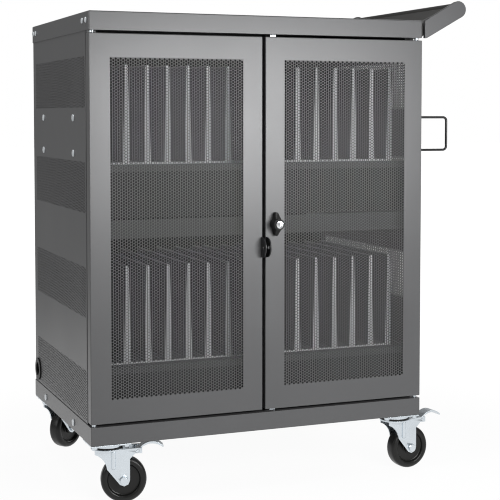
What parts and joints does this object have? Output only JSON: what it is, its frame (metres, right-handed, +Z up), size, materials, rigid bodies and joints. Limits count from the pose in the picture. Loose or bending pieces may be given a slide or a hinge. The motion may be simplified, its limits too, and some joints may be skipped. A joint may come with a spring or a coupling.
{
  "type": "laptop charging cart",
  "caption": "Steel laptop charging cart on casters with perforated lockable double doors, upright dividers inside, a push handle and cord bails.",
  "frame": {"origin": "middle of the underside of the whole cart's box, on the floor", "axes": "+X to the cart's right, where the handle is, +Y from the doors to the back, +Z up"},
  "size_m": [0.9648, 0.61, 1.1246],
  "materials": {
    "graphite_coat": "graphite grey powder coat, fine texture, semi-matt",
    "dark_coat": "dark grey powder coat, semi-matt",
    "black_coat": "black coat, satin",
    "pale_plastic": "light grey moulded plastic, matt",
    "black_plastic": "black moulded plastic, satin",
    "zinc": "bright zinc-plated steel",
    "chrome": "polished chrome",
    "wheel_rubber": "hard black rubber, satin"
  },
  "bodies": {
    "cabinet": {"base_tray": "graphite_coat", "lid": "graphite_coat", "middle_tray": "graphite_coat", "left_side_panel": "graphite_coat", "right_side_panel": "graphite_coat", "back_panel": "graphite_coat", "cable_grommet": "black_plastic", "lower_fascia": "graphite_coat", "lower_shelf": "graphite_coat", "lower_left_rack": "pale_plastic", "lower_right_rack": "pale_plastic", "lower_power_strip": "black_plastic", "upper_fascia": "graphite_coat", "upper_shelf": "graphite_coat", "upper_left_rack": "pale_plastic", "upper_right_rack": "pale_plastic", "upper_power_strip": "black_plastic", "upper_left_hinge_pin": "zinc", "lower_left_hinge_pin": "zinc", "upper_right_hinge_pin": "zinc", "lower_right_hinge_pin": "zinc", "handle_front_arm": "graphite_coat", "handle_rear_arm": "graphite_coat", "handle_ramp": "dark_coat", "handle_grip": "dark_coat", "front_cord_bail": "black_coat", "rear_cord_bail": "black_coat", "front_left_caster_plate": "zinc", "front_right_caster_plate": "zinc", "rear_left_caster_plate": "zinc", "rear_right_caster_plate": "zinc"},
    "left_door": {"left_door": "graphite_coat", "left_hasp": "black_coat"},
    "right_door": {"right_door": "graphite_coat", "right_hasp": "black_coat"},
    "lock_knob": {"lock_knob": "black_plastic", "lock_cam": "zinc"},
    "key_plug": {"key_plug": "chrome"},
    "upper_lock_bar": {"upper_lock_bar": "zinc"},
    "lower_lock_bar": {"lower_lock_bar": "zinc"},
    "lower_switch": {"lower_strip_switch": "black_plastic"},
    "upper_switch": {"upper_strip_switch": "black_plastic"},
    "front_left_fork": {"front_left_fork": "zinc", "front_left_axle": "zinc"},
    "front_left_wheel": {"front_left_wheel": "wheel_rubber"},
    "front_left_brake": {"front_left_brake_pedal": "zinc"},
    "front_right_fork": {"front_right_fork": "zinc", "front_right_axle": "zinc"},
    "front_right_wheel": {"front_right_wheel": "wheel_rubber"},
    "front_right_brake": {"front_right_brake_pedal": "zinc"},
    "rear_left_fork": {"rear_left_fork": "zinc", "rear_left_axle": "zinc"},
    "rear_left_wheel": {"rear_left_wheel": "wheel_rubber"},
    "rear_right_fork": {"rear_right_fork": "zinc", "rear_right_axle": "zinc"},
    "rear_right_wheel": {"rear_right_wheel": "wheel_rubber"}
  },
  "joints": [
    {"name": "left_door_swing", "type": "hinge", "parent": "cabinet", "child": "left_door", "pos_m": [-0.47139, -0.26255, 0.59975], "axis": [0, 0, -1], "range_deg": [0, 180]},
    {"name": "right_door_swing", "type": "hinge", "parent": "cabinet", "child": "right_door", "pos_m": [0.31761, -0.26255, 0.59975], "axis": [0, 0, 1], "range_deg": [0, 180]},
    {"name": "lock_knob_turn", "type": "hinge", "parent": "right_door", "child": "lock_knob", "pos_m": [-0.05039, -0.27405, 0.60675], "axis": [0, -1, 0], "range_deg": [0, 90]},
    {"name": "key_plug_turn", "type": "hinge", "parent": "lock_knob", "child": "key_plug", "pos_m": [-0.05039, -0.29905, 0.60675], "axis": [0, -1, 0], "range_deg": [0, 90]},
    {"name": "upper_bar_slide", "type": "slide", "parent": "right_door", "child": "upper_lock_bar", "axis": [0, 0, 1], "range_m": [0, 0.012]},
    {"name": "lower_bar_slide", "type": "slide", "parent": "right_door", "child": "lower_lock_bar", "axis": [0, 0, -1], "range_m": [0, 0.012]},
    {"name": "lower_switch_rock", "type": "hinge", "parent": "cabinet", "child": "lower_switch", "pos_m": [0.20351, 0.22805, 0.17955], "axis": [0, 1, 0], "range_deg": [0, 16]},
    {"name": "upper_switch_rock", "type": "hinge", "parent": "cabinet", "child": "upper_switch", "pos_m": [0.20351, 0.22805, 0.62555], "axis": [0, 1, 0], "range_deg": [0, 16]},
    {"name": "front_left_swivel", "type": "hinge", "parent": "cabinet", "child": "front_left_fork", "pos_m": [-0.43489, -0.23405, 0.11775], "axis": [0, 0, 1], "continuous": true},
    {"name": "front_left_roll", "type": "hinge", "parent": "front_left_fork", "child": "front_left_wheel", "pos_m": [-0.39967, -0.24153, 0.05075], "axis": [0.2079, 0.9781, 0], "continuous": true},
    {"name": "front_left_brake_press", "type": "hinge", "parent": "front_left_fork", "child": "front_left_brake", "pos_m": [-0.36935, -0.24798, 0.11615], "axis": [0.2079, 0.9781, 0], "range_deg": [0, 16]},
    {"name": "front_right_swivel", "type": "hinge", "parent": "cabinet", "child": "front_right_fork", "pos_m": [0.28111, -0.23405, 0.11775], "axis": [0, 0, 1], "continuous": true},
    {"name": "front_right_roll", "type": "hinge", "parent": "front_right_fork", "child": "front_right_wheel", "pos_m": [0.31692, -0.23028, 0.05075], "axis": [-0.1045, 0.9945, 0], "continuous": true},
    {"name": "front_right_brake_press", "type": "hinge", "parent": "front_right_fork", "child": "front_right_brake", "pos_m": [0.34775, -0.22704, 0.11615], "axis": [-0.1045, 0.9945, 0], "range_deg": [0, 16]},
    {"name": "rear_left_swivel", "type": "hinge", "parent": "cabinet", "child": "rear_left_fork", "pos_m": [-0.43489, 0.24395, 0.11775], "axis": [0, 0, 1], "continuous": true},
    {"name": "rear_left_roll", "type": "hinge", "parent": "rear_left_fork", "child": "rear_left_wheel", "pos_m": [-0.40576, 0.26511, 0.05075], "axis": [-0.5878, 0.809, 0], "continuous": true},
    {"name": "rear_right_swivel", "type": "hinge", "parent": "cabinet", "child": "rear_right_fork", "pos_m": [0.28111, 0.24395, 0.11775], "axis": [0, 0, 1], "continuous": true},
    {"name": "rear_right_roll", "type": "hinge", "parent": "rear_right_fork", "child": "rear_right_wheel", "pos_m": [0.31494, 0.25627, 0.05075], "axis": [-0.342, 0.9397, 0], "continuous": true}
  ],
  "couplings": [
    {"joint": "upper_bar_slide", "follows": "lock_knob_turn", "m_per_rad": 0.0075},
    {"joint": "lower_bar_slide", "follows": "lock_knob_turn", "m_per_rad": 0.0075}
  ]
}
